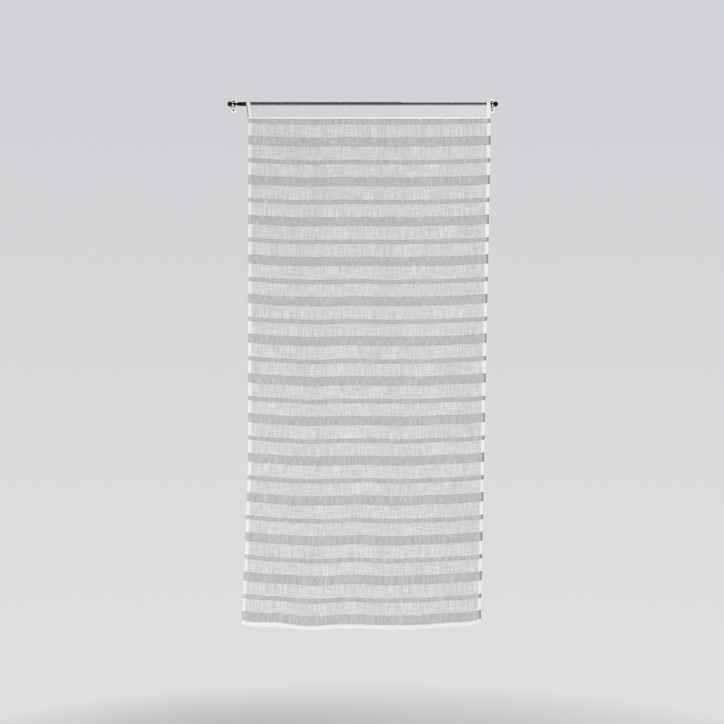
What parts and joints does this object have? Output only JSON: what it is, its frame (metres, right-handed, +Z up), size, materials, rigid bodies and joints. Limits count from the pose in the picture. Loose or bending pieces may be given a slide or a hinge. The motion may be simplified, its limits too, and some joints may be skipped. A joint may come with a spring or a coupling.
{
  "type": "sheer window panel on a telescopic rod",
  "caption": "Flat sheer striped window panel sewn onto a thin black telescopic rod with ball ends, hung in small screwed hooks.",
  "frame": {"origin": "middle of the four screws, on the plane where the hooks meet the sash", "axes": "+X to the right as seen from the room, +Y back into the sash, +Z up; the cloth hangs in front of the sash at -Y"},
  "size_m": [0.619, 0.034, 1.2157],
  "materials": {
    "sheer_cloth": "sheer plain weave, off-white, with beige woven bands",
    "black_rod": "satin black",
    "white_hook": "white",
    "dark_screw": "burnished dark"
  },
  "bodies": {
    "fixed_end": {"rod_outer_tube": "black_rod", "left_finial": "black_rod", "left_bracket": "white_hook", "left_upper_screw": "dark_screw", "left_lower_screw": "dark_screw"},
    "sliding_end": {"rod_inner_tube": "black_rod", "right_finial": "black_rod", "right_bracket": "white_hook", "right_upper_screw": "dark_screw", "right_lower_screw": "dark_screw"},
    "panel": {"curtain_panel": "sheer_cloth"}
  },
  "joints": [
    {"name": "rod_extend", "type": "slide", "parent": "fixed_end", "child": "sliding_end", "axis": [1, 0, 0], "range_m": [0, 0.08]},
    {"name": "panel_slide", "type": "slide", "parent": "fixed_end", "child": "panel", "axis": [1, 0, 0], "range_m": [-0.02, 0]}
  ]
}
